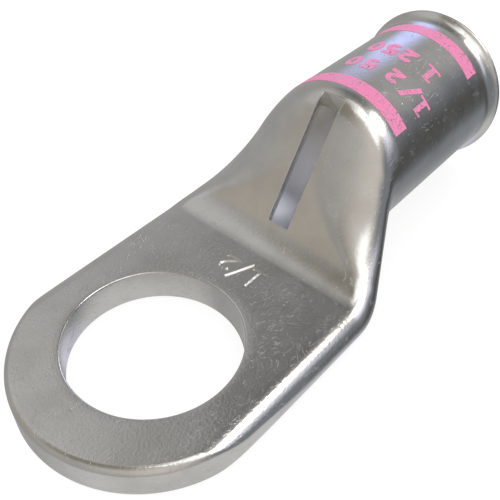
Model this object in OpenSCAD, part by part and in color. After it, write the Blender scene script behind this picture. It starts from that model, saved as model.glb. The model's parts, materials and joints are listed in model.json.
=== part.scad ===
// Cable lug made from one piece of tinned copper tube.
// One end is pressed flat into a palm with a stud hole, the other stays round and is belled at its mouth.
// Origin: centre of the stud hole on the palm's underside. +X runs to the mouth, +Z is up.

/* [Palm] */
// Stud hole diameter
stud_d = 13.5; // [8:0.1:15]
// Width over the rounded sides
palm_w = 21.1; // [19:0.1:24]
// Thickness of the pressed tube
palm_t = 2.9; // [2.6:0.1:3.6]
// Rounding of the sides underneath, the rest of the thickness is their rounding on top
side_low_r = 1.2; // [0.8:0.05:1.6]
// Hole centre to the end of the flat
palm_end = 11.9; // [10.5:0.1:13.5]
// Hole centre to the sheared tip
tip_reach = 10.8; // [10:0.1:13]
// How far the sheared tip lies inside the rounded sides
tip_inset = 0.2; // [0.1:0.05:0.4]
// Angle at which the shear line runs out of the sides
shear_angle = 2.5; // [1.5:0.5:5]
// Rounding of the sheared edge on top
tip_round = 0.6; // [0.3:0.05:1]
// Rounding of the sheared edge underneath
tip_break = 0.25; // [0.1:0.05:0.4]

/* [Barrel] */
// Outside diameter
barrel_d = 13.4; // [12:0.1:14.5]
// Tube wall
wall = 1.35; // [1.1:0.05:1.6]
// Hole centre to the start of the full round
barrel_start = 22.25; // [21.9:0.05:25]
// Hole centre to the end of the mouth
mouth_x = 37.85; // [34:0.05:48]

/* [Shoulder] */
// Bend between the palm and the slope
bend_r = 2.45; // [1.5:0.05:3.5]
// Bend between the slope and the top of the barrel
crown_r = 3; // [2:0.1:4]
// Bend between the palm's side and the flank
hip_r = 6; // [4:0.1:7]
// Bend between the flank and the barrel's side
waist_r = 5.2; // [3:0.1:6]
// From the waist to the start of the full round
waist_gap = 0.5; // [0:0.05:1]
// Wall over the slope, measured straight down
roof = 1.15; // [0.9:0.05:1.5]

/* [Bell mouth] */
// Length of the belled end
bell_len = 1.85; // [1.4:0.05:2.1]
// Bend of the bell
bell_r = 2.05; // [1.9:0.05:3]
// Rounding of the rim
rim_r = 0.3; // [0.15:0.05:0.4]

/* [Inspection slot] */
// Width of the slot
slot_w = 2; // [1:0.1:3]
// Hole centre to the slot's lower end
slot_x = 14.3; // [13.8:0.1:16]
// Length of the slot, measured along the lug
slot_len = 6.7; // [4:0.1:7.5]

/* [Printed bands] */
// Width of each band
band_w = 1.55; // [0.8:0.05:2.5]
// Start of the full round to the first band
band_gap = 0; // [0:0.1:2]
// Second band to the start of the bell
band_back = 0.6; // [0:0.1:3]
// Angle that each band wraps over the top
band_wrap = 103; // [60:1:180]
// Thickness of the ink
ink = 0.04; // [0.02:0.01:0.1]

/* [Hidden] */
tin = [0.66, 0.66, 0.64];
pink = [0.96, 0.54, 0.74];

past = 1;            // how far a cutting shape runs past the surface it cuts
tuck = 0.01;         // how far the shoulder's end rings lie under the palm and the barrel
quarter = 14;        // points on each quarter of a shoulder section
stations = 26;       // steps between the palm and the barrel
bend_steps = 10;     // steps on each arc of the bell
round_fn = 180;      // facets of the large round shapes
edge_fn = 64;        // facets of the small roundings

side_top_r = palm_t - side_low_r;
barrel_r = barrel_d / 2;
bore_r = barrel_r - wall;
bell_x = mouth_x - bell_len;
bell_centre = [barrel_r + bell_r, bell_x];
rim_angle = asin((bell_len - rim_r) / (bell_r + rim_r));
rim_centre = bell_centre + (bell_r + rim_r) * [-cos(rim_angle), sin(rim_angle)];
mouth_angle = asin(bell_len / (bell_r + wall));

// The rim rests on the same plane as the palm, and so sets the height of the barrel's axis
axis_z = rim_centre[0] + rim_r;
barrel_lift = axis_z - barrel_r;
barrel_top = axis_z + barrel_r;

// How the press shapes the shoulder
first_gap = 1;       // flat's end to where the two walls start to part
fold = 3 * wall;     // palm's side to the hollow where the walls part
lift_power = 3;      // the underside leaves the palm's plane late
flat_power = 2.7;    // the flat on top fades early
roof_power = 8;      // the roof is thin up to the barrel's start
lean = 0.25;         // how much the upper corners lean in halfway up, against a true ellipse

// Angle of the straight between two tangent arcs whose radii add up to r_sum
function s_angle(run, rise, r_sum) =
    atan2(rise - r_sum, run) + asin(r_sum / norm([run, rise - r_sum]));

// Height at x of a curve that leaves y0 on an arc, runs straight and arrives at y1 on an arc
function s_curve(x, x0, x1, y0, y1, r0, r1) =
    let (way = sign(y1 - y0), a = s_angle(x1 - x0, abs(y1 - y0), r0 + r1))
    x <= x0 ? y0 :
    x >= x1 ? y1 :
    x < x0 + r0 * sin(a) ? y0 + way * (r0 - sqrt(r0 ^ 2 - (x - x0) ^ 2)) :
    x > x1 - r1 * sin(a) ? y1 - way * (r1 - sqrt(r1 ^ 2 - (x1 - x) ^ 2)) :
    y0 + way * (r0 * (1 - cos(a)) + (x - x0 - r0 * sin(a)) * tan(a));

function mix(a, b, t) = a + (b - a) * t;

// Outline of the shoulder along its length
function top_z(x) = s_curve(x, palm_end, barrel_start, palm_t, barrel_top, bend_r, crown_r);
function half_w(x) =
    s_curve(x, palm_end, barrel_start - waist_gap, palm_w / 2, barrel_r, hip_r, waist_r);

// How far the tube has opened at x: 0 where it is flat, 1 where it is round
function opened(x) = (top_z(x) - palm_t) / (barrel_top - palm_t);
function base_z(x) = barrel_lift * opened(x) ^ lift_power;

// Half width of the flat that the press leaves on top
function top_flat(x) = (palm_w / 2 - side_top_r) * (1 - opened(x)) ^ flat_power;

// Share of the section's height that lies above its widest level
function top_share(x) = mix(side_top_r / palm_t, 0.5, opened(x));

// 1 for elliptical upper corners, more where they lean in
function corner_power(x) = 1 + lean * sin(180 * opened(x));

// One closed section: curved corners joined by straights, as points [y, z]
function section(w, flat, z1, z0, low_r, share, power) =
    let (high = (z1 - z0) * share, low = z1 - z0 - high,
        right = concat(
            [for (i = [0 : quarter]) let (a = 90 * i / quarter)
                [flat + (w - flat) * sin(a) ^ power, z1 - high + high * cos(a) ^ power]],
            [for (i = [1 : quarter]) let (a = 90 * i / quarter)
                [w - low_r + low_r * cos(a), z0 + low - low * sin(a)]]))
    concat(right, [for (i = [len(right) - 1 : -1 : 0]) [-right[i][0], right[i][1]]]);

// Outside of the shoulder at x, pulled in by trim
function outer_section(x, trim = 0) =
    section(half_w(x) - trim, max(top_flat(x), tuck), top_z(x) - trim, base_z(x) + trim,
        mix(side_low_r, half_w(x) - trim - tuck, opened(x)), top_share(x), corner_power(x));

// Inside of the shoulder at x: the walls part where the palm ends and reach the bore's size
function inner_section(x, trim = 0) =
    let (w = mix(half_w(x) - fold, bore_r, opened(x)) - trim,
        z1 = top_z(x) - mix(roof, wall, opened(x) ^ roof_power) - trim, z0 = base_z(x) + wall + trim)
    section(w, max(top_flat(x) * w / half_w(x), tuck), z1, z0,
        mix((z1 - z0) / 2, w - tuck, opened(x)), top_share(x), corner_power(x));

// Solid through a row of stations, each [x, section]
module loft(rows) {
    n = len(rows[0][1]);
    points = [for (row = rows) for (p = row[1]) [row[0], p[0], p[1]]];
    sides = [for (j = [0 : len(rows) - 2]) for (i = [0 : n - 1])
        let (k = (i + 1) % n) for (f = [[j * n + i, j * n + k, (j + 1) * n + k],
            [j * n + i, (j + 1) * n + k, (j + 1) * n + i]]) f];
    caps = [[for (i = [n - 1 : -1 : 0]) i], [for (i = [0 : n - 1]) (len(rows) - 1) * n + i]];
    polyhedron(points, concat(sides, caps));
}

function station(i) = mix(palm_end, barrel_start, i / stations);

module shoulder() {
    loft(concat(
        [for (x = [palm_end - past, palm_end]) [x, outer_section(x, tuck)]],
        [for (i = [1 : stations - 1]) [station(i), outer_section(station(i))]],
        [for (x = [barrel_start, barrel_start + past]) [x, outer_section(x, tuck)]]));
}

module shoulder_hollow() {
    walls_part = palm_end + first_gap;
    loft(concat(
        [[walls_part, inner_section(walls_part)]],
        [for (i = [0 : stations - 1]) if (station(i) > walls_part) [station(i), inner_section(station(i))]],
        [for (x = [barrel_start, barrel_start + past]) [x, inner_section(x, tuck)]]));
}

// The tube pressed flat: its sides stay round, more tightly below their widest level than above it
module pressed_flat() {
    translate([-tip_reach - past, 0, 0]) rotate([90, 0, 90])
        linear_extrude(tip_reach + past + palm_end) {
            pressed_level(side_low_r, 0);
            pressed_level(side_top_r, side_low_r);
        }
}

// The pressed tube's profile below or above the widest level, a height of r that starts at bottom
module pressed_level(r, bottom) {
    translate([-palm_w / 2 + r, bottom]) square([palm_w - 2 * r, r]);
    for (side = [-1, 1]) intersection() {
        translate([side * (palm_w / 2 - r), side_low_r]) circle(r, $fn = edge_fn);
        translate([-palm_w / 2, bottom]) square([palm_w, r]);
    }
}

// What the shear leaves: round at the tip, with straight lines that run out of the sides at a small angle
module sheared_blank() {
    tip_r = palm_w / 2 - tip_inset;
    tip_centre = tip_r - tip_reach;
    start = [tip_centre - tip_r * sin(shear_angle), tip_r * cos(shear_angle)];
    finish = start + (palm_end - start[0] + past) * [1, tan(shear_angle)];
    translate([0, 0, -past]) linear_extrude(palm_t + 2 * past)
        polygon([start, finish, [finish[0], -finish[1]], [start[0], -start[1]]]);
    translate([tip_centre, 0, 0]) rotate_extrude($fn = round_fn) difference() {
        square([tip_r, palm_t]);
        translate([tip_r - tip_round, palm_t - tip_round]) outside_corner(tip_round);
        translate([tip_r - tip_break, tip_break]) mirror([0, 1]) outside_corner(tip_break);
    }
}

// What a rounding of radius r takes off a square corner
module outside_corner(r) {
    difference() {
        square(r + past);
        circle(r, $fn = edge_fn);
    }
}

module palm() {
    intersection() {
        pressed_flat();
        sheared_blank();
    }
}

module stud_hole() {
    translate([0, 0, -past]) cylinder(d = stud_d, h = palm_t + 2 * past, $fn = round_fn);
}

// Turns a profile of [radius, distance from the stud hole] about the barrel's axis
module on_barrel_axis(angle = 360) {
    translate([0, 0, axis_z]) rotate([0, 90, 0]) rotate([0, 0, 180 - angle / 2])
        rotate_extrude(angle = angle, $fn = round_fn) children();
}

// Points on a circle, from angle a0 to a1
function arc(c, r, a0, a1) =
    [for (i = [0 : bend_steps]) let (a = mix(a0, a1, i / bend_steps)) c + r * [cos(a), sin(a)]];

module barrel() {
    on_barrel_axis() polygon(concat(
        [[0, barrel_start], [barrel_r, barrel_start]],
        arc(bell_centre, bell_r, 180, 180 - rim_angle),
        arc(rim_centre, rim_r, -rim_angle, 90),
        [[0, mouth_x]]));
}

// The bore, with the inside of the bell concentric to its outside
module bore() {
    mouth_r = bell_centre[0] - (bell_r + wall) * cos(mouth_angle);
    on_barrel_axis() polygon(concat(
        [[0, barrel_start], [bore_r, barrel_start]],
        arc(bell_centre, bell_r + wall, 180, 180 - mouth_angle),
        [[mouth_r, mouth_x + past], [0, mouth_x + past]]));
}

// Window in the slope through which the cable's end is seen
module inspection_slot() {
    within = mix(base_z(slot_x) + wall, top_z(slot_x) - roof, 0.5);
    translate([slot_x, -slot_w / 2, within]) cube([slot_len, slot_w, barrel_top]);
}

module lug() {
    color(tin) difference() {
        union() {
            palm();
            shoulder();
            barrel();
        }
        shoulder_hollow();
        bore();
        stud_hole();
        inspection_slot();
    }
}

// Ink bands that wrap over the top of the barrel
module size_bands() {
    color(pink) for (x = [barrel_start + band_gap, bell_x - band_back - band_w])
        on_barrel_axis(band_wrap) translate([barrel_r, x]) square([ink, band_w]);
}

lug();
size_bands();
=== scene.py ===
import json
from math import acos, asin, atan2, cos, dist, hypot, pi, radians, sin, sqrt, tan

import bmesh
import bpy
from mathutils import Matrix, Vector


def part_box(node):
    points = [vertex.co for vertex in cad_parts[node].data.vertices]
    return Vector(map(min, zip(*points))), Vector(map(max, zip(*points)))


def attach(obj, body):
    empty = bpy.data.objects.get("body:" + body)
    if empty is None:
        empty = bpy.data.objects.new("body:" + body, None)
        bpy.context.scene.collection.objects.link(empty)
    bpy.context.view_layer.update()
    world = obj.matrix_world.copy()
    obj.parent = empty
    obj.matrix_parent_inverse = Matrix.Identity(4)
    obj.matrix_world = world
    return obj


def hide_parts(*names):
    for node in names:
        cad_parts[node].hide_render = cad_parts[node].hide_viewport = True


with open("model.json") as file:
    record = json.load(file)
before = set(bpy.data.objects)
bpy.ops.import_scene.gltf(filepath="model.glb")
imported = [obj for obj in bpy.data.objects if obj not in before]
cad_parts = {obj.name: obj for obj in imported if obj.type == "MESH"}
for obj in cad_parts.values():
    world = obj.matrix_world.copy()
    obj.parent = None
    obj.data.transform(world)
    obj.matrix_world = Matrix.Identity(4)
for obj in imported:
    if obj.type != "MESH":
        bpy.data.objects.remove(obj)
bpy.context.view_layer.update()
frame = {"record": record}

# Sizes in millimetres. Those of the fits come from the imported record. The rest repeat the model's own, but
# for the bend at the shoulder's foot and the shoulder's flat top, which are softer in the finished surface.
MM = 0.001
mounts = {m["name"]: m for m in frame["record"]["mounts"]}
lug_low, lug_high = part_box("lug")

# Palm
STUD_R = mounts["stud_hole"]["dims"]["r_mm"]
PALM_T = mounts["stud_hole"]["dims"]["length_mm"]
PALM_W = (lug_high[1] - lug_low[1]) / MM
TIP_REACH = -lug_low[0] / MM
SIDE_LOW_R = 1.2
SIDE_TOP_R = PALM_T - SIDE_LOW_R
PALM_END = 11.35
HIP_X = 11.9
TIP_INSET = 0.2
SHEAR_ANGLE = 2.5
TIP_ROUND = 0.6
TIP_BREAK = 0.25

# Barrel
WALL = 1.35
BORE_R = mounts["cable_bore"]["dims"]["r_mm"]
BARREL_R = BORE_R + WALL
AXIS_Z = mounts["cable_bore"]["pos_m"][2] / MM
BARREL_TOP = AXIS_Z + BARREL_R
BARREL_LIFT = AXIS_Z - BARREL_R
BARREL_START = 22.25
MOUTH_X = lug_high[0] / MM

# Shoulder
BEND_R = 3.45
CROWN_R = 3.0
HIP_R = 6.0
WAIST_R = 5.2
WAIST_GAP = 0.5
ROOF = 1.15
FIRST_GAP = 1.55
FOLD = 3 * WALL
LIFT_POWER = 3
FLAT_HOLD = 1.3
FLAT_POWER = 4
ROOF_POWER = 8
LEAN = 0.25

# Bell mouth
BELL_LEN = 1.85
BELL_R = 2.05
RIM_R = 0.3

# Inspection slot
SLOT_W = 2.0
SLOT_X = 14.3
SLOT_LEN = 6.7

# Small roundings that only the finished surface has
CORNER_BLEND = 0.08
HOLE_EDGE = 0.16
SLOT_EDGE = 0.09
MOUTH_EDGE = 0.15

# Steps of the surface's grid: columns round half a ring, rows along the tube, steps round palm and edges
CENTRE_COLUMNS = 4
FLAT_COLUMNS = 8
CORNER_COLUMNS = 20
TOP_COLUMNS = CENTRE_COLUMNS + FLAT_COLUMNS
BASE_COLUMNS = TOP_COLUMNS
HALF_RING = TOP_COLUMNS + 2 * CORNER_COLUMNS + BASE_COLUMNS
BEND_ROWS = 18
SLOT_ROWS = 44
CROWN_ROWS = 10
BARREL_ROWS = 10
BELL_ROWS = 16
RIM_ROWS = 16
MOUTH_ROWS = 3
MOUTH_EDGE_ROWS = 6
FLARE_ROWS = 14
BORE_ROWS = 10
SIDE_STEPS = 36
TIP_STEPS = 130
HOLE_EDGE_STEPS = 5
SLOT_EDGE_STEPS = 4

# The columns before a corner cover at least this share of a section's half width, on top from the slot on
TOP_SPLIT = 0.25
BASE_SPLIT = 0.3

# Rings on the palm's top face, as shares of the way from its rim to the hole
FACE_RINGS = (0.4, 0.8)

# Points closer than this become one
WELD = 0.0008

# A crease of more degrees than this stays sharp
SHARP_ANGLE = 38

# Places of the two tins among the lug's materials: the outside, and the inside with its painted sheen and
# painted shade
OUTSIDE = 0
INSIDE = 1


def mix(a, b, t):
    """The value at the share t of the way from a to b."""
    return a + (b - a) * t


def spread(a, b, n):
    """The n + 1 values that divide the way from a to b into n even steps."""
    return [mix(a, b, i / n) for i in range(n + 1)]


def smooth_max(a, b, k):
    """The larger of a and b, or a little more where they differ by less than about k."""
    return (a + b + sqrt((a - b) ** 2 + k * k)) / 2


def s_curve(x, x0, x1, y0, y1, r0, r1):
    """Height at x of a curve that leaves y0 on an arc, runs straight and arrives at y1 on an arc."""
    way = 1 if y1 > y0 else -1
    run, rise, r_sum = x1 - x0, abs(y1 - y0), r0 + r1
    angle = atan2(rise - r_sum, run) + asin(r_sum / hypot(run, rise - r_sum))
    if x <= x0:
        return y0
    if x >= x1:
        return y1
    if x < x0 + r0 * sin(angle):
        return y0 + way * (r0 - sqrt(r0 ** 2 - (x - x0) ** 2))
    if x > x1 - r1 * sin(angle):
        return y1 - way * (r1 - sqrt(r1 ** 2 - (x1 - x) ** 2))
    return y0 + way * (r0 * (1 - cos(angle)) + (x - x0 - r0 * sin(angle)) * tan(angle))


def top_z(x):
    """Height of the shoulder's top at x."""
    return s_curve(x, PALM_END, BARREL_START, PALM_T, BARREL_TOP, BEND_R, CROWN_R)


def half_w(x):
    """Half of the shoulder's width at x."""
    return s_curve(x, HIP_X, BARREL_START - WAIST_GAP, PALM_W / 2, BARREL_R, HIP_R, WAIST_R)


def opened(x):
    """How far the tube has opened at x: 0 where it is flat, 1 where it is round."""
    return (top_z(x) - PALM_T) / (BARREL_TOP - PALM_T)


def base_z(x):
    """Height of the shoulder's underside at x."""
    return BARREL_LIFT * opened(x) ** LIFT_POWER


def top_flat(x):
    """Half of the width of the flat that the press leaves on top."""
    return (PALM_W / 2 - SIDE_TOP_R) * (1 - opened(x) ** FLAT_HOLD) ** FLAT_POWER


def top_share(x):
    """Share of a section's height that lies above its widest level."""
    return mix(SIDE_TOP_R / PALM_T, 0.5, opened(x))


def corner_power(x):
    """1 for elliptical upper corners, more where they lean in."""
    return 1 + LEAN * sin(pi * opened(x))


def corner_drop(u, power):
    """Share of an upper corner's height that is lost at the share u of its width."""
    return 1 - max(0, 1 - u ** (2 / power)) ** (power / 2)


def roof_z(x, y):
    """Height of the shoulder's upper side at x and y."""
    flat = top_flat(x)
    high = (top_z(x) - base_z(x)) * top_share(x)
    beyond = max(0, abs(y) - flat) / (half_w(x) - flat)
    return top_z(x) - high * corner_drop(beyond, corner_power(x))


def half_section(w, flat, z1, z0, low_r, share, power, slot_half):
    """Half of a section, from the middle of its top to the middle of its base, as (y, z).

    It is w wide and lies between the heights z0 and z1, with a flat on top. The upper corner takes a share
    of its height and leans in if power is over 1. The lower corner is low_r wide. One column lies at
    slot_half, the slot's edge.
    """
    high = (z1 - z0) * share
    low = z1 - z0 - high
    base = w - low_r
    top_split = max(flat, slot_half + TOP_SPLIT * (w - slot_half))
    base_split = max(base, BASE_SPLIT * w)

    def top(y):
        return z1 - high * corner_drop(max(0, y - flat) / (w - flat), power)

    def bottom(y):
        return z0 if y <= base else z0 + low - low * sqrt(max(0, 1 - ((y - base) / low_r) ** 2))

    upper = spread(asin(((top_split - flat) / (w - flat)) ** (1 / power)), pi / 2, CORNER_COLUMNS)
    lower = spread(0, acos((base_split - base) / low_r), CORNER_COLUMNS)
    points = [(y, top(y)) for y in spread(0, slot_half, CENTRE_COLUMNS)]
    points += [(y, top(y)) for y in spread(slot_half, top_split, FLAT_COLUMNS)[1:]]
    points += [(flat + (w - flat) * sin(a) ** power, z1 - high + high * max(0, cos(a)) ** power)
               for a in upper[1:]]
    points += [(base + low_r * cos(a), z0 + low - low * sin(a)) for a in lower[1:]]
    points += [(y, bottom(y)) for y in spread(base_split, 0, BASE_COLUMNS)[1:]]
    return points


def outer_half(x):
    """Half of the shoulder's outside at x."""
    return half_section(w=half_w(x), flat=top_flat(x), z1=top_z(x), z0=base_z(x),
                        low_r=mix(SIDE_LOW_R, half_w(x), opened(x)), share=top_share(x),
                        power=corner_power(x), slot_half=SLOT_W / 2 + SLOT_EDGE)


def inner_half(x):
    """Half of the shoulder's hollow at x."""
    w = mix(half_w(x) - FOLD, BORE_R, opened(x))
    z1 = top_z(x) - mix(ROOF, WALL, opened(x) ** ROOF_POWER)
    z0 = base_z(x) + WALL
    return half_section(w=w, flat=top_flat(x) * w / half_w(x), z1=z1, z0=z0,
                        low_r=mix((z1 - z0) / 2, w, opened(x)), share=top_share(x),
                        power=corner_power(x), slot_half=SLOT_W / 2)


def ring(x, half):
    """Closed ring of points from half a section: +Y side down, then -Y side up."""
    return [(x, y, z) for y, z in half] + [(x, -y, z) for y, z in half[-2:0:-1]]


class Surface:
    """Points and faces of one mesh, in millimetres."""

    def __init__(self):
        self.points, self.faces, self.material_indices = [], [], []

    def add(self, points):
        """Adds points and gives their numbers."""
        first = len(self.points)
        self.points += [tuple(p) for p in points]
        return list(range(first, len(self.points)))

    def face(self, corners, material=0):
        self.faces.append(tuple(corners))
        self.material_indices.append(material)

    def bridge(self, a, b, closed=True, skip=(), material=0):
        """Quads between two rows of point numbers."""
        n = len(a)
        for i in range(n if closed else n - 1):
            if i not in skip:
                k = (i + 1) % n
                self.face((a[i], a[k], b[k], b[i]), material)

    def make(self, name, *materials):
        """Object of this mesh, in metres, smooth but for its sharp edges."""
        mesh = bpy.data.meshes.new(name)
        mesh.from_pydata(self.points, [], self.faces)
        mesh.polygons.foreach_set("material_index", self.material_indices)
        bm = bmesh.new()
        bm.from_mesh(mesh)
        bmesh.ops.remove_doubles(bm, verts=bm.verts, dist=WELD)
        bmesh.ops.recalc_face_normals(bm, faces=bm.faces)
        bmesh.ops.scale(bm, vec=(MM, MM, MM), verts=bm.verts)
        bm.to_mesh(mesh)
        bm.free()
        mesh.shade_smooth()
        mesh.set_sharp_from_angle(angle=radians(SHARP_ANGLE))
        for material in materials:
            mesh.materials.append(material)
        piece = bpy.data.objects.new(name, mesh)
        bpy.context.scene.collection.objects.link(piece)
        return piece


def slot_loop(first_row, last_row):
    """(row, column) steps round the slot's opening in a grid of rings."""
    side = CENTRE_COLUMNS
    loop = [(first_row, c) for c in range(-side, side)]
    loop += [(r, side) for r in range(first_row, last_row)]
    loop += [(last_row, c) for c in range(side, -side, -1)]
    loop += [(r, -side) for r in range(last_row, first_row, -1)]
    return loop


def mouth_profile():
    """Barrel, bell, rim, the bell's inside and the bore, in that order, as (x, radius)."""
    bell_x = MOUTH_X - BELL_LEN
    centre = BARREL_R + BELL_R
    rim_angle = asin((BELL_LEN - RIM_R) / (BELL_R + RIM_R))
    rim_x, rim_c = MOUTH_X - RIM_R, centre - (BELL_R + RIM_R) * cos(rim_angle)
    inner_r = BELL_R + WALL
    mouth_angle = asin((BELL_LEN - MOUTH_EDGE) / inner_r)
    mouth_r = centre - inner_r * cos(mouth_angle)
    barrel = [(x, BARREL_R) for x in spread(BARREL_START, bell_x, BARREL_ROWS)[1:]]
    outside = [(bell_x + BELL_R * sin(a), centre - BELL_R * cos(a))
               for a in spread(0, rim_angle, BELL_ROWS)]
    rim = [(rim_x + RIM_R * sin(a), rim_c + RIM_R * cos(a))
           for a in spread(-rim_angle, pi / 2, RIM_ROWS)]
    face = [(MOUTH_X, r) for r in spread(rim_c, mouth_r + 2 * MOUTH_EDGE, MOUTH_ROWS)]
    edge = [(MOUTH_X - MOUTH_EDGE * (1 - cos(a)), mouth_r + 2 * MOUTH_EDGE - 2 * MOUTH_EDGE * sin(a))
            for a in spread(0, pi / 2, MOUTH_EDGE_ROWS)]
    inside = [(bell_x + inner_r * sin(a), centre - inner_r * cos(a))
              for a in spread(mouth_angle, 0, FLARE_ROWS)]
    bore = [(x, BORE_R) for x in spread(bell_x, BARREL_START, BORE_ROWS)[1:-1]]
    return barrel + outside[1:] + rim[1:] + face[1:] + edge[1:] + inside[1:] + bore


def palm_outline():
    """Shear line round the palm, from +Y to -Y, as (x, y, inward direction)."""
    tip_r = PALM_W / 2 - TIP_INSET
    centre = tip_r - TIP_REACH
    turn = radians(SHEAR_ANGLE)
    start = (centre - tip_r * sin(turn), tip_r * cos(turn))
    side = []
    for t in spread(0, 1, SIDE_STEPS)[:-1]:
        x = mix(PALM_END, start[0], t)
        side.append((x, start[1] + (x - start[0]) * tan(turn), turn * t))
    tip = [(centre - tip_r * sin(a), tip_r * cos(a), a) for a in spread(turn, pi / 2, TIP_STEPS // 2)]
    half = [(x, y, (sin(a), -cos(a))) for x, y, a in side + tip]
    return half + [(x, -y, (d[0], -d[1])) for x, y, d in half[-2::-1]]


def palm_levels():
    """Height of each step round the palm's rounded side, and how far the side has drawn in there."""
    turns = spread(0, pi / 2, CORNER_COLUMNS)
    upper = [(SIDE_LOW_R + SIDE_TOP_R * cos(a), SIDE_TOP_R * (1 - sin(a))) for a in turns]
    lower = [(SIDE_LOW_R * (1 - sin(a)), SIDE_LOW_R * (1 - cos(a))) for a in turns]
    return upper + lower[1:]


def shear_inset(z):
    """How far the sheared tip's rounded edges draw in at height z."""
    if z > PALM_T - TIP_ROUND:
        return TIP_ROUND - sqrt(max(0, TIP_ROUND ** 2 - (z - PALM_T + TIP_ROUND) ** 2))
    if z < TIP_BREAK:
        return TIP_BREAK - sqrt(max(0, TIP_BREAK ** 2 - (TIP_BREAK - z) ** 2))
    return 0


def outer_stations():
    """X of the rings over the shoulder, from the palm to the barrel."""
    slot_start, slot_end = SLOT_X - SLOT_EDGE, SLOT_X + SLOT_LEN + SLOT_EDGE
    return (spread(PALM_END, slot_start, BEND_ROWS)
            + spread(slot_start, slot_end, SLOT_ROWS)[1:]
            + spread(slot_end, BARREL_START, CROWN_ROWS)[1:])


def inner_stations():
    """X of the rings in the hollow, from the barrel to the hollow's end."""
    slot_end = SLOT_X + SLOT_LEN
    return (spread(BARREL_START, slot_end, CROWN_ROWS)
            + spread(slot_end, SLOT_X, SLOT_ROWS)[1:]
            + spread(SLOT_X, PALM_END + FIRST_GAP, BEND_ROWS // 2)[1:])


def tube_rings():
    """Rings of shoulder, barrel, bell, bore and hollow, in order, and the place of the hollow's first."""
    rings = [ring(x, outer_half(x)) for x in outer_stations()]
    turns = [atan2(y, z - AXIS_Z) for _, y, z in rings[-1]]
    rings += [[(x, r * sin(a), AXIS_Z + r * cos(a)) for a in turns] for x, r in mouth_profile()]
    first_inner = len(rings)
    rings += [ring(x, inner_half(x)) for x in inner_stations()]
    return rings, first_inner


def add_tube(surface, grid, first_hidden, cut_rows):
    """The tube's rings as one skin, open at the slot and closed at the hollow's end."""
    over_slot = [c % len(grid[0]) for c in range(-CENTRE_COLUMNS, CENTRE_COLUMNS)]
    for r in range(len(grid) - 1):
        surface.bridge(grid[r], grid[r + 1], skip=over_slot if r in cut_rows else (),
                       material=INSIDE if r >= first_hidden else OUTSIDE)
    surface.face(grid[-1], INSIDE)


def add_slot(surface, rings, grid, outer_slot, inner_slot):
    """The slot's rounded edge, then its walls straight down to the hollow."""
    count = len(grid[0])
    outer = slot_loop(outer_slot.start, outer_slot.stop)
    inner_rows = {outer_slot.start + i: inner_slot.stop - i for i in range(SLOT_ROWS + 1)}
    mid_x = SLOT_X + SLOT_LEN / 2
    half_len, half_slot = SLOT_LEN / 2 + SLOT_EDGE, SLOT_W / 2 + SLOT_EDGE
    loops = [[grid[r][c % count] for r, c in outer]]
    for a in spread(0, pi / 2, SLOT_EDGE_STEPS)[1:]:
        pull, drop = SLOT_EDGE * sin(a), SLOT_EDGE * (1 - cos(a))
        points = []
        for r, c in outer:
            x, y, _ = rings[r][c % count]
            x, y = mid_x + (x - mid_x) * (1 - pull / half_len), y * (1 - pull / half_slot)
            points.append((x, y, roof_z(x, y) - drop))
        loops.append(surface.add(points))
    loops.append([grid[inner_rows[r]][c % count] for r, c in outer])
    for a, b in zip(loops, loops[1:]):
        surface.bridge(a, b)


def add_palm_side(surface, first_ring):
    """The palm's rounded side, cut by the shear line where that lies further in. Gives its levels."""
    outline = palm_outline()
    levels = []
    for k, (z, draw) in enumerate(palm_levels()):
        level = []
        for x, y, (dx, dy) in outline:
            fold = (abs(y) - PALM_W / 2 + draw) / max(abs(dy), 1e-3)
            inset = smooth_max(fold, shear_inset(z), CORNER_BLEND)
            level.append((x + dx * inset, y + dy * inset, z))
        level[0] = first_ring[TOP_COLUMNS + k]
        level[-1] = first_ring[-(TOP_COLUMNS + k)]
        levels.append(surface.add(level))
    for a, b in zip(levels, levels[1:]):
        surface.bridge(a, b, closed=False)
    return levels


def hole_profile():
    """Wall of the stud hole with its rounded edges, as (radius, z) from the top down."""
    turns = spread(0, pi / 2, HOLE_EDGE_STEPS)
    upper = [(STUD_R + HOLE_EDGE * (1 - sin(a)), PALM_T - HOLE_EDGE * (1 - cos(a))) for a in turns]
    lower = [(STUD_R + HOLE_EDGE * (1 - cos(a)), HOLE_EDGE * (1 - sin(a))) for a in turns]
    return upper + lower


def add_palm_faces(surface, first_row, side):
    """The palm's two faces round the stud hole, and the hole's wall, between rows of point numbers."""
    across = range(-TOP_COLUMNS + 1, TOP_COLUMNS)
    top_rim = side[0] + [first_row[c % len(first_row)] for c in across]
    base_rim = side[-1] + [first_row[(HALF_RING - c) % len(first_row)] for c in across]
    turns = [atan2(surface.points[i][1], surface.points[i][0]) for i in top_rim]
    hole_r = STUD_R + HOLE_EDGE
    loops = [top_rim]
    for share in FACE_RINGS:
        loops.append(surface.add([(mix(surface.points[i][0], hole_r * cos(a), share),
                                   mix(surface.points[i][1], hole_r * sin(a), share), PALM_T)
                                  for i, a in zip(top_rim, turns)]))
    loops += [surface.add([(r * cos(a), r * sin(a), z) for a in turns]) for r, z in hole_profile()]
    loops.append(base_rim)
    for a, b in zip(loops, loops[1:]):
        surface.bridge(a, b)


def lug_surface():
    """The whole lug as one closed skin."""
    surface = Surface()
    rings, first_inner = tube_rings()
    grid = [surface.add(points) for points in rings]
    outer_slot = range(BEND_ROWS, BEND_ROWS + SLOT_ROWS)
    inner_slot = range(first_inner + CROWN_ROWS, first_inner + CROWN_ROWS + SLOT_ROWS)
    add_tube(surface, grid, first_inner - BORE_ROWS, {*outer_slot, *inner_slot})
    add_slot(surface, rings, grid, outer_slot, inner_slot)
    side = add_palm_side(surface, rings[0])
    add_palm_faces(surface, grid[0], side)
    return surface


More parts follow.
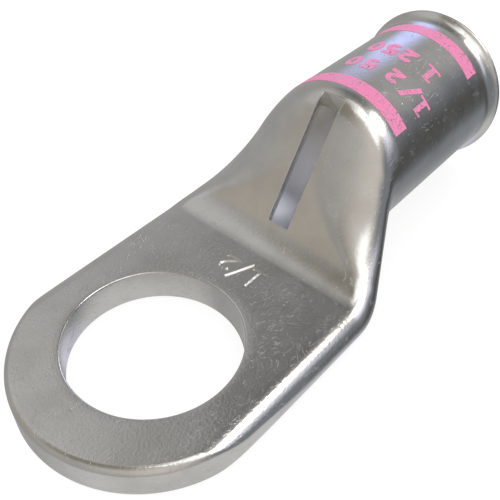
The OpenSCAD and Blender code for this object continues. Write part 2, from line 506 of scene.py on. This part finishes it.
# Camera, from the photograph's own perspective
CAMERA_AZ, CAMERA_EL, CAMERA_ROLL = -49.2514, 43.9306, 0.3031
CAMERA_AT = (-19.65, -26.253, 42.804)
FOCAL_SHARE = 692.7213 / 500
SENSOR = 36.0


def add_camera():
    az, el, roll = (radians(v) for v in (CAMERA_AZ, CAMERA_EL, CAMERA_ROLL))
    back = Vector((sin(az) * cos(el), -cos(az) * cos(el), sin(el)))
    right = Vector((0, 0, 1)).cross(back).normalized()
    up = back.cross(right)
    turned_right = right * cos(roll) + up * sin(roll)
    turned_up = up * cos(roll) - right * sin(roll)
    data = bpy.data.cameras.new("camera")
    data.sensor_width = SENSOR
    data.lens = FOCAL_SHARE * SENSOR
    data.clip_start = MM
    camera = bpy.data.objects.new("camera", data)
    turn = Matrix((turned_right, turned_up, back)).transposed()
    camera.matrix_world = Matrix.Translation(Vector(CAMERA_AT) * MM) @ turn.to_4x4()
    bpy.context.scene.collection.objects.link(camera)
    bpy.context.scene.camera = camera


# Figures in a box one cap height tall: strokes of points (across, up), each with its share of full weight
GLYPH_W = 0.68

# A corner's edges reach out at most 1 / MITRE_LIMIT times half the weight
MITRE_LIMIT = 0.5


def turn_points(cx, cy, rx, ry, a0, a1, n=14):
    """Points of an elliptical arc."""
    return [(cx + rx * cos(radians(a)), cy + ry * sin(radians(a))) for a in spread(a0, a1, n)]


GLYPHS = {
    "0": [(turn_points(0.34, 0.5, 0.22, 0.38, 0, 360, 32), 1)],
    "1": [([(0.4, 0), (0.4, 1)], 1),
          ([(0.03, 0.06), (0.77, 0.06)], 0.5),
          ([(0.08, 0.9), (0.42, 0.94)], 0.5)],
    "2": [(turn_points(0.34, 0.66, 0.22, 0.22, 165, -35) + [(0.12, 0.16)], 1),
          ([(0, 0.12), (0.68, 0.12)], 1)],
    "5": [([(0.62, 0.88), (0.16, 0.88), (0.13, 0.5)] + turn_points(0.33, 0.34, 0.22, 0.22, 125, -140), 1)],
    "/": [([(0.08, -0.12), (0.6, 1.12)], 1)],
}


def subdivide(path, step):
    """The path with points added, about one for each step."""
    points = [path[0]]
    for a, b in zip(path, path[1:]):
        shares = spread(0, 1, max(1, round(dist(a, b) / step)))[1:]
        points += [(mix(a[0], b[0], share), mix(a[1], b[1], share)) for share in shares]
    return points


def stroke_sides(path, weight):
    """Left and right edge of a stroke, mitred at its corners, and whether the stroke is a closed one."""
    closed = dist(path[0], path[-1]) < 1e-6
    left, right = [], []
    last = len(path) - 1
    for i, (x, y) in enumerate(path):
        before = path[i - 1] if i else (path[-2] if closed else None)
        after = path[i + 1] if i < last else (path[1] if closed else None)
        ways = []
        for a, b in ((before, (x, y)), ((x, y), after)):
            if a and b:
                ways.append(((b[0] - a[0]) / dist(a, b), (b[1] - a[1]) / dist(a, b)))
        wx, wy = sum(w[0] for w in ways), sum(w[1] for w in ways)
        nx, ny = -wy / hypot(wx, wy), wx / hypot(wx, wy)
        reach = weight / 2 / max(MITRE_LIMIT, nx * -ways[0][1] + ny * ways[0][0])
        left.append((x + nx * reach, y + ny * reach))
        right.append((x - nx * reach, y - ny * reach))
    return left, right, closed


def add_stroke(surface, path, weight, foot_weight, head, foot):
    """Closed solid along a stroke. head and foot place a point (across, up) on its upper and lower face."""
    upper_left, upper_right, closed = stroke_sides(path, weight)
    lower_left, lower_right, _ = stroke_sides(path, foot_weight)
    sides = ((head, upper_left), (head, upper_right), (foot, lower_right), (foot, lower_left))
    edges = [surface.add([place(*p) for p in side]) for place, side in sides]
    for a, b in zip(edges, edges[1:] + edges[:1]):
        surface.bridge(a, b, closed=False)
    if not closed:
        surface.face(e[0] for e in edges)
        surface.face(e[-1] for e in edges[::-1])


# Print on the barrel: for each row the x of its foot, its height and its figures, each with its angle
# from the barrel's top. A row reads from -Y to +Y. Strokes lie on two levels in turn, so that no two
# faces coincide where they cross.
INK = 0.02
INK_STEP = 0.002
PRINT_WEIGHT = 0.24
PRINT_STEP = 0.06
PRINT_ROWS = (
    (27.5, 1.9, (("1", -46.5), ("/", -33.0), ("2", -17.5), ("5", 3.5), ("0", 17.5))),
    (30.9, 2.0, (("1", -32.0), ("2", -10.0), ("5", 3.5), ("0", 17.0))),
)
BAND_W = 1.55
BAND_BACK = 0.6
BAND_WRAP = 103
BAND_STEPS = 72


def on_barrel(base_x, height, middle, r):
    """Places a figure's point (across, up) round the barrel at radius r."""
    def place(u, v):
        a = radians(middle) + (u - GLYPH_W / 2) * height / BARREL_R
        return (base_x - v * height, r * sin(a), AXIS_Z + r * cos(a))
    return place


def barrel_print():
    """All figures on the barrel, as thin solids sunk a little into it."""
    surface = Surface()
    layer = 0
    for base_x, height, figures in PRINT_ROWS:
        for figure, middle in figures:
            for path, share in GLYPHS[figure]:
                layer += 1
                out = BARREL_R + INK + INK_STEP * (layer % 2)
                weight = PRINT_WEIGHT * share
                add_stroke(surface, subdivide(path, PRINT_STEP), weight=weight, foot_weight=weight,
                           head=on_barrel(base_x, height, middle, out),
                           foot=on_barrel(base_x, height, middle, BARREL_R - INK))
    return surface


def print_bands():
    """The two bands of ink over the top of the barrel."""
    surface = Surface()
    angles = [radians(a) for a in spread(-BAND_WRAP / 2, BAND_WRAP / 2, BAND_STEPS)]
    for x in (BARREL_START, MOUTH_X - BELL_LEN - BAND_BACK - BAND_W):
        edges = []
        for u, r in ((x, BARREL_R + INK), (x + BAND_W, BARREL_R + INK),
                     (x + BAND_W, BARREL_R - INK), (x, BARREL_R - INK)):
            edges.append(surface.add([(u, r * sin(a), AXIS_Z + r * cos(a)) for a in angles]))
        for a, b in zip(edges, edges[1:] + edges[:1]):
            surface.bridge(a, b, closed=False)
        for end in (0, -1):
            surface.face(e[end] for e in edges)
    return surface


# Figures stamped into the palm, each with its place across the palm. A groove is STAMP_W wide at the
# palm's face and STAMP_FLOOR wide at its floor.
STAMP_X = 10.4
STAMP_H = 2.0
STAMP_DEPTH = 0.12
STAMP_W = 0.32
STAMP_FLOOR = 0.04
STAMP_STEP = 0.15
STAMP_FIGURES = (("1", -1.75), ("/", -0.2), ("2", 1.1))


def on_palm(middle, z):
    """Places a figure's point (across, up) on the palm at height z."""
    def place(u, v):
        return (STAMP_X - v * STAMP_H, middle + (u - GLYPH_W / 2) * STAMP_H, z)
    return place


def stamp_cutter(path, middle, material):
    """Solid that cuts one stroke as a groove with sloping walls, as tall above the face as below it."""
    surface = Surface()
    add_stroke(surface, subdivide(path, STAMP_STEP),
               weight=(2 * STAMP_W - STAMP_FLOOR) / STAMP_H, foot_weight=STAMP_FLOOR / STAMP_H,
               head=on_palm(middle, PALM_T + STAMP_DEPTH), foot=on_palm(middle, PALM_T - STAMP_DEPTH))
    return surface.make("stamp_cutter", material)


def cut_away(piece, cutter):
    """Cuts one solid out of a piece."""
    cut = piece.modifiers.new("cut", "BOOLEAN")
    cut.operation = "DIFFERENCE"
    cut.solver = "EXACT"
    cut.object = cutter
    depsgraph = bpy.context.evaluated_depsgraph_get()
    mesh = bpy.data.meshes.new_from_object(piece.evaluated_get(depsgraph))
    piece.modifiers.clear()
    piece.data = mesh
    bpy.data.objects.remove(cutter)


def stamp(piece):
    """Cuts the stamped figures into the palm, one stroke at a time."""
    for figure, middle in STAMP_FIGURES:
        for path, _ in GLYPHS[figure]:
            cut_away(piece, stamp_cutter(path, middle, piece.data.materials[0]))
    piece.data.set_sharp_from_angle(angle=radians(SHARP_ANGLE))


class Nodes:
    """Short names for one material's or world's nodes. A value is a number, a tuple or a node's output."""

    def __init__(self, tree):
        self.tree = tree

    def new(self, kind, values, **settings):
        """A node with its settings, and with a value or a link for each input that values names."""
        node = self.tree.nodes.new(kind)
        for key, value in settings.items():
            setattr(node, key, value)
        for key, value in values.items():
            socket = node.inputs[key]
            if isinstance(value, bpy.types.NodeSocket):
                self.tree.links.new(value, socket)
            else:
                socket.default_value = value
        return node

    def math(self, operation, a, b=0.0):
        return self.new("ShaderNodeMath", {0: a, 1: b}, operation=operation).outputs[0]

    def smooth(self, value, low, high, to_low=0.0, to_high=1.0):
        """Smooth step from to_low at low to to_high at high."""
        return self.new("ShaderNodeMapRange", {"Value": value, "From Min": low, "From Max": high,
                                               "To Min": to_low, "To Max": to_high},
                        interpolation_type="SMOOTHSTEP").outputs["Result"]

    def mix(self, share, a, b):
        """Colour a where the share is 0, colour b where it is 1."""
        return self.new("ShaderNodeMix", {0: share, 6: a, 7: b}, data_type="RGBA").outputs[2]

    def place(self, scale, turn=(0, 0, 0), shift=(0, 0, 0)):
        """The object's own coordinates in millimetres, then scaled, turned and shifted."""
        coordinates = self.new("ShaderNodeTexCoord", {}).outputs["Object"]
        big = self.new("ShaderNodeMapping", {"Vector": coordinates, "Scale": [1 / MM] * 3}).outputs[0]
        return self.new("ShaderNodeMapping", {"Vector": big, "Scale": scale, "Location": shift,
                                              "Rotation": [radians(a) for a in turn]}).outputs[0]

    def noise(self, vector, scale, detail=2.0, roughness=0.5, distortion=0.0):
        settings = {"Scale": scale, "Detail": detail, "Roughness": roughness, "Distortion": distortion}
        return self.new("ShaderNodeTexNoise", {"Vector": vector, **settings}).outputs["Fac"]

    def lines(self, vector, scale, width, distortion):
        """Thin wandering lines: 1 on a line, 0 beside it."""
        level = self.noise(vector, scale, distortion=distortion)
        return self.smooth(self.math("ABSOLUTE", self.math("SUBTRACT", level, 0.5)), width, width / 3)

    def patches(self, shift, scale, low, high):
        """Soft patches: 1 where the noise is over high, 0 where it is under low."""
        return self.smooth(self.noise(self.place((1, 1, 1), shift=shift), scale), low, high)


TIN = (0.71, 0.70, 0.675, 1)
TIN_WORN = (0.64, 0.63, 0.60, 1)
# Painted light inside the lug: a pale lilac painted sheen, and a browner painted shade down the bore
INSIDE_PAINTED_SHEEN = (0.93, 0.95, 1.0, 1)
BORE_PAINTED_SHADE = (0.8, 0.77, 0.72, 1)
PINK = (0.90, 0.26, 0.49, 1)

# Relief of the tin, in millimetres from its lowest to its highest point
PEBBLE = 0.011
FINE_GRAIN = 0.002
SCRATCH = 0.007
PIT = 0.01

# The palm's pebbles fade from this far before the palm's end to as far beyond it, and on the tube this
# share of them is left
PRESS_FADE = 1.5
TUBE_RELIEF = 0.45

# The inside's pale painted sheen turns to browner painted shade over this length of the bore
BORE_SHADE_FADE = 5


def tin_shader(nodes, colour=TIN, roughness=0.17, metallic=1.0):
    """Pebbly tin with short scratches and small pits. The palm is rougher and has curved scratches too."""
    even = nodes.place((1, 1, 1))
    along = nodes.new("ShaderNodeSeparateXYZ", {"Vector": even}).outputs["X"]
    palm = nodes.smooth(along, PALM_END + PRESS_FADE, PALM_END - PRESS_FADE)
    relief = nodes.smooth(palm, 0, 1, to_low=TUBE_RELIEF, to_high=1.0)
    pebble = nodes.math("MULTIPLY", nodes.noise(even, scale=4.5, detail=1.0), relief)
    fine = nodes.noise(even, scale=7.0, detail=1.0)
    curved = nodes.math("MULTIPLY", nodes.lines(even, scale=0.55, width=0.006, distortion=1.4),
                        nodes.patches((3, 7, 1), scale=0.5, low=0.47, high=0.55))
    curved = nodes.math("MULTIPLY", curved, palm)
    stretched = nodes.place((0.5, 1.2, 1.2), turn=(0, 0, 50))
    short = nodes.math("MULTIPLY", nodes.lines(stretched, scale=1.1, width=0.008, distortion=0.2),
                       nodes.patches((9, 2, 5), scale=0.9, low=0.56, high=0.64))
    scratch = nodes.math("MAXIMUM", curved, short)
    pit = nodes.smooth(nodes.noise(even, scale=3.4, detail=1.0), low=0.7, high=0.78)
    height = nodes.math("MULTIPLY", pebble, PEBBLE)
    height = nodes.math("ADD", height, nodes.math("MULTIPLY", fine, FINE_GRAIN))
    height = nodes.math("SUBTRACT", height, nodes.math("MULTIPLY", scratch, SCRATCH))
    height = nodes.math("SUBTRACT", height, nodes.math("MULTIPLY", pit, PIT))
    height = nodes.math("MULTIPLY", height, MM)
    bump = nodes.new("ShaderNodeBump", {"Height": height, "Distance": 1.0, "Strength": 1.0}).outputs[0]
    rough = nodes.smooth(nodes.noise(even, scale=0.7, detail=3.0, roughness=0.6), low=0.3, high=0.7,
                         to_low=roughness - 0.02, to_high=roughness + 0.04)
    return nodes.new("ShaderNodeBsdfPrincipled", {"Base Color": colour, "Metallic": metallic,
                                                  "Roughness": rough, "Normal": bump}).outputs[0]


def new_material(name):
    """An empty material and its nodes."""
    material = bpy.data.materials.new(name)
    material.use_nodes = True
    material.node_tree.nodes.clear()
    return material, Nodes(material.node_tree)


def tin_material():
    """The outside: tin with slightly worn patches."""
    material, nodes = new_material("tinned_copper")
    tone = nodes.mix(nodes.patches((1, 4, 8), scale=0.3, low=0.35, high=0.7), TIN, TIN_WORN)
    nodes.new("ShaderNodeOutputMaterial", {"Surface": tin_shader(nodes, tone)})
    return material


def painted_inside_material():
    """The duller tin inside, with painted light: a pale lilac painted sheen behind the slot that turns to
    browner painted shade down the bore.
    """
    material, nodes = new_material("tinned_copper_inside")
    along = nodes.new("ShaderNodeSeparateXYZ", {"Vector": nodes.place((1, 1, 1))}).outputs["X"]
    tone = nodes.mix(nodes.smooth(along, BARREL_START, BARREL_START + BORE_SHADE_FADE), INSIDE_PAINTED_SHEEN, BORE_PAINTED_SHADE)
    tin = tin_shader(nodes, tone, roughness=0.35, metallic=0.8)
    nodes.new("ShaderNodeOutputMaterial", {"Surface": tin})
    return material


def ink_material():
    """Pink ink, worn through to the tin in thin cracks and small specks."""
    material, nodes = new_material("pink_ink")
    even = nodes.place((1, 1, 1))
    long = nodes.math("MULTIPLY", nodes.lines(even, scale=0.9, width=0.012, distortion=0.7),
                      nodes.patches((4, 8, 2), scale=0.5, low=0.42, high=0.52))
    short = nodes.math("MULTIPLY", nodes.lines(even, scale=2.1, width=0.03, distortion=1.0),
                       nodes.patches((2, 5, 9), scale=0.7, low=0.5, high=0.56))
    speck = nodes.smooth(nodes.noise(even, scale=4.5, detail=3.0, roughness=0.7), low=0.64, high=0.7)
    worn = nodes.math("MAXIMUM", nodes.math("MAXIMUM", long, short), speck)
    ink = nodes.new("ShaderNodeBsdfPrincipled", {"Base Color": PINK, "Roughness": 0.45}).outputs[0]
    both = nodes.new("ShaderNodeMixShader", {0: nodes.math("MULTIPLY", worn, 0.8),
                                             1: ink, 2: tin_shader(nodes)}).outputs[0]
    nodes.new("ShaderNodeOutputMaterial", {"Surface": both})
    return material


# The studio as the metal mirrors it. Each soft panel: azimuth, elevation and roll of its middle, half its
# width and height, all in degrees, then the share of it that is soft edge, its radiance and its colour.
# Later panels cover earlier ones.
NEUTRAL = (1.0, 1.0, 1.0)
CREAM = (1.06, 1.0, 0.94)
SAND = (1.09, 1.0, 0.88)
BEIGE = (1.12, 1.03, 0.85)
LILAC = (0.95, 0.95, 1.1)
SKY = (0.92, 0.98, 1.1)
BLUE = (0.76, 0.84, 1.4)
SURROUND = (0.42, NEUTRAL)
PANELS = (
    # Through the mouth, into the bore
    (0, 0, 0, 30, 25, 0.3, 3.0, LILAC),
    # Dim ceiling, on the slope
    (165, 75, 0, 60, 30, 0.3, 0.2, BEIGE),
    # Broad wall behind the camera
    (-115, 30, 45, 85, 65, 0.7, 0.68, CREAM),
    # Underneath, on the hole's wall
    (-110, -70, 15, 65, 45, 0.5, 0.65, NEUTRAL),
    (5, -60, -5, 25, 15, 0.2, 0.75, LILAC),
    # Dim band on the right, darkest in its middle, on the barrel's flank and the palm's edge
    (-55, 0, -5, 75, 45, 0.5, 0.25, SKY),
    (-35, -25, -30, 50, 25, 0.8, 0.28, SKY),
    (-40, -10, -25, 20, 35, 0.7, 0.1, NEUTRAL),
    # Dim patch high beyond the lug, on the palm's right
    (15, 60, -20, 35, 20, 0.7, 0.2, NEUTRAL),
    # Glow on both sides of the key light
    (-95, 55, 0, 15, 20, 0.5, 1.6, NEUTRAL),
    (-60, 35, 0, 15, 30, 0.9, 1.2, LILAC),
    # Blue window beyond the lug, along the top of the barrel
    (30, 20, 40, 10, 20, 0.9, 1.3, BLUE),
    # Overhead light, on the crown
    (-95, 80, 0, 15, 30, 0.4, 1.6, NEUTRAL),
    # Key light, high on the right
    (-55, 50, 5, 15, 15, 0.3, 4.0, CREAM),
    # Left wall, on the palm's left and the slope
    (105, 50, -25, 40, 30, 0.6, 0.6, NEUTRAL),
    (150, 10, 0, 50, 30, 0.8, 0.45, SAND),
    (150, 65, 10, 20, 45, 0.7, 0.25, BEIGE),
)
ROOM_LIGHT = (1.0, 1.0, 1.0, 1)

FLOOR_SIZE = 0.8
FLOOR_TONE = (0.3, 0.3, 0.3, 1)
FLOOR_GLOW = 0.8


def light(radiance, colour):
    """A colour of light with its alpha."""
    return tuple(radiance * c for c in colour) + (1,)


def direction(azimuth, elevation):
    """Unit vector, azimuth from +X towards +Y, in degrees."""
    a, e = radians(azimuth), radians(elevation)
    return (cos(a) * cos(e), sin(a) * cos(e), sin(e))


def panel_share(nodes, way, azimuth, elevation, roll, half_wide, half_tall, soft):
    """1 on the panel, fading to 0 at its edge. The panel is where an ellipsoid meets the unit sphere."""
    wide, tall = (2 * sin(radians(a) / 2) for a in (half_wide, half_tall))
    turn = [radians(a) for a in (roll, -elevation, azimuth)]
    local = nodes.new("ShaderNodeMapping", {"Vector": way, "Location": direction(azimuth, elevation),
                                            "Rotation": turn, "Scale": (max(wide, tall), wide, tall)},
                      vector_type="TEXTURE").outputs[0]
    reach = nodes.new("ShaderNodeVectorMath", {0: local}, operation="LENGTH").outputs["Value"]
    return nodes.smooth(reach, 1, 1 - soft)


def add_studio():
    """Soft panels that only reflections see, in a room of even white light."""
    world = bpy.data.worlds.new("studio")
    world.use_nodes = True
    world.node_tree.nodes.clear()
    world.cycles.sampling_method = "NONE"
    nodes = Nodes(world.node_tree)
    way = nodes.new("ShaderNodeTexCoord", {}).outputs["Generated"]
    colour = light(*SURROUND)
    for *shape, radiance, tint in PANELS:
        colour = nodes.mix(panel_share(nodes, way, *shape), colour, light(radiance, tint))
    mirrored = nodes.new("ShaderNodeLightPath", {}).outputs["Is Glossy Ray"]
    sky = nodes.new("ShaderNodeBackground", {"Color": nodes.mix(mirrored, ROOM_LIGHT, colour)}).outputs[0]
    nodes.new("ShaderNodeOutputWorld", {"Surface": sky})
    bpy.context.scene.world = world


def add_floor():
    """White floor that takes a faint shadow and isn't mirrored."""
    material, nodes = new_material("floor")
    paper = nodes.new("ShaderNodeBsdfDiffuse", {"Color": FLOOR_TONE}).outputs[0]
    glow = nodes.new("ShaderNodeEmission", {"Color": (1, 1, 1, 1), "Strength": FLOOR_GLOW}).outputs[0]
    both = nodes.new("ShaderNodeAddShader", {0: paper, 1: glow}).outputs[0]
    nodes.new("ShaderNodeOutputMaterial", {"Surface": both})
    bpy.ops.mesh.primitive_plane_add(size=FLOOR_SIZE)
    floor = bpy.context.object
    floor.name = "floor"
    floor.visible_glossy = False
    floor.data.materials.append(material)


bpy.context.scene.view_settings.view_transform = "Standard"
add_camera()
add_studio()
add_floor()

tin = tin_material()
ink = ink_material()

lug = lug_surface().make("lug_body", tin, painted_inside_material())
stamp(lug)
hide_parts("lug")
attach(lug, "root")

bands = print_bands().make("band_print", ink)
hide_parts("size_bands")
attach(bands, "root")

figures = barrel_print().make("figure_print", ink)
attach(figures, "root")
